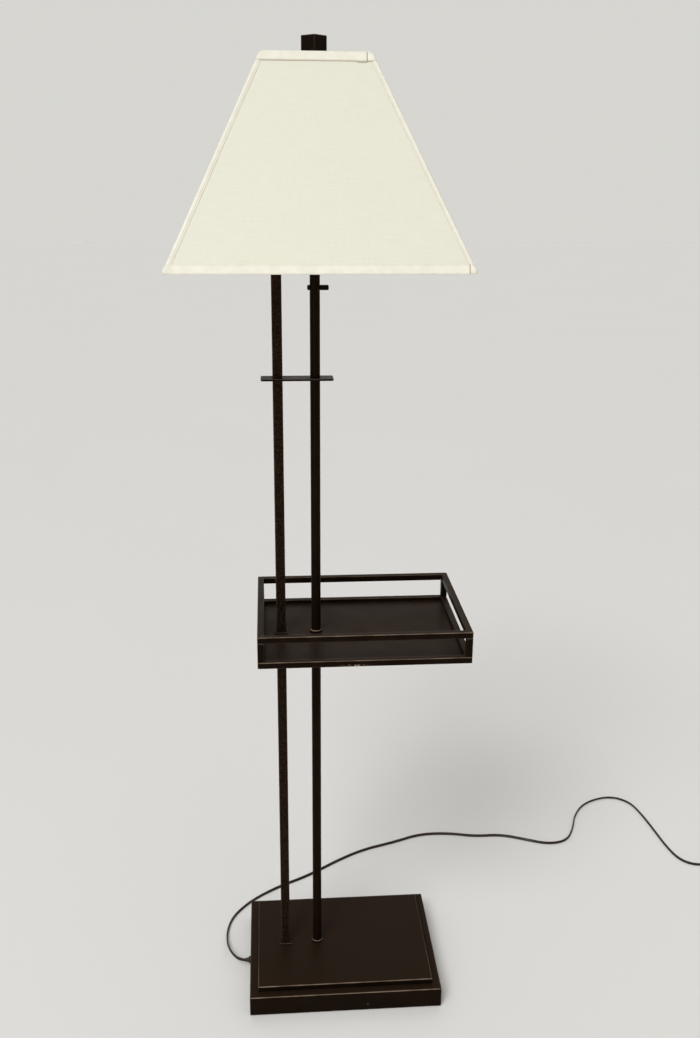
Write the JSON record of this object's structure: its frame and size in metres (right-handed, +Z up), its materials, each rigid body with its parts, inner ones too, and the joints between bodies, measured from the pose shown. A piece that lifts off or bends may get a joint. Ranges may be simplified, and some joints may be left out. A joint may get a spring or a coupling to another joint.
{
  "type": "floor lamp",
  "caption": "Floor lamp with a built-in gallery tray: twin slim posts on a stepped rectangular base, square tapered fabric shade on a harp, corner-on block finial.",
  "frame": {"origin": "On the floor under the round post's axis, at the underside of the felt pad.", "axes": "+Z up along the posts, +X towards the long end of the tray (away from the square post), +Y to the back; metres, right-handed."},
  "size_m": [1.116, 0.6815, 1.524],
  "materials": {
    "bronze": "satin",
    "hammered_bronze": "hammered satin",
    "iron": "rough",
    "zinc_steel": "satin",
    "brass": "satin",
    "nickel": "polished",
    "felt": "felt",
    "board": "raw",
    "cord_plastic": "matte",
    "insulator": "matte",
    "linen": "matte weave",
    "tape": "matte weave",
    "white_wire": "gloss",
    "frosted_glass": "frosted"
  },
  "bodies": {
    "stand": {"base_cover": "bronze", "base_step_plate": "bronze", "square_flanges": "bronze", "round_ferrules": "bronze", "lower_round_post": "bronze", "upper_round_post": "bronze", "square_post_cap": "bronze", "tie_plate": "bronze", "tray_floor": "bronze", "tray_lower_rail_front": "bronze", "tray_lower_rail_back": "bronze", "tray_lower_rail_left": "bronze", "tray_lower_rail_right": "bronze", "tray_upper_rail_front": "bronze", "tray_upper_rail_back": "bronze", "tray_upper_rail_left": "bronze", "tray_upper_rail_right": "bronze", "tray_corner_posts": "bronze", "lower_square_post": "hammered_bronze", "upper_square_post": "hammered_bronze", "base_weight": "iron", "board_screws": "zinc_steel", "base_washers": "zinc_steel", "base_nuts": "zinc_steel", "base_pipes": "zinc_steel", "tray_pipes": "zinc_steel", "top_pipe": "zinc_steel", "round_post_bushings": "zinc_steel", "square_post_bushings": "zinc_steel", "harp_saddle": "brass", "harp": "brass", "socket_cap": "brass", "socket_shell": "brass", "screw_shell": "brass", "plug_blades": "nickel", "felt_pad": "felt", "bottom_board": "board", "cord_bushing": "cord_plastic", "supply_lead": "cord_plastic", "switch_leads": "cord_plastic", "cord": "cord_plastic", "cord_coil": "cord_plastic", "plug_body": "cord_plastic", "switch_body": "insulator", "socket_core": "insulator"},
    "switch_rod": {"switch_rod": "bronze"},
    "finial": {"finial": "bronze"},
    "shade": {"shade_panel_front": "linen", "shade_panel_right": "linen", "shade_panel_back": "linen", "shade_panel_left": "linen", "shade_bottom_ring": "white_wire", "shade_spider": "white_wire", "shade_edge_tapes": "tape", "shade_corner_tapes": "tape"},
    "bulb": {"bulb_cap": "nickel", "bulb_glass": "frosted_glass"},
    "harp_sleeve_left": {"harp_sleeve_left": "brass"},
    "harp_sleeve_right": {"harp_sleeve_right": "brass"}
  },
  "joints": [
    {"name": "switch_push", "type": "slide", "parent": "stand", "child": "switch_rod", "axis": [1, 0, 0], "range_m": [-0.0092, 0]},
    {"name": "finial_turn", "type": "hinge", "parent": "stand", "child": "finial", "pos_m": [0, 0, 1.5], "axis": [0, 0, 1], "continuous": true},
    {"name": "shade_turn", "type": "hinge", "parent": "stand", "child": "shade", "pos_m": [0, 0, 1.4935], "axis": [0, 0, 1], "continuous": true},
    {"name": "bulb_turn", "type": "hinge", "parent": "stand", "child": "bulb", "pos_m": [0, 0, 1.2718], "axis": [0, 0, 1], "continuous": true},
    {"name": "harp_sleeve_left_lift", "type": "slide", "parent": "stand", "child": "harp_sleeve_left", "axis": [0, 0, 1], "range_m": [0, 0.012]},
    {"name": "harp_sleeve_right_lift", "type": "slide", "parent": "stand", "child": "harp_sleeve_right", "axis": [0, 0, 1], "range_m": [0, 0.012]}
  ]
}
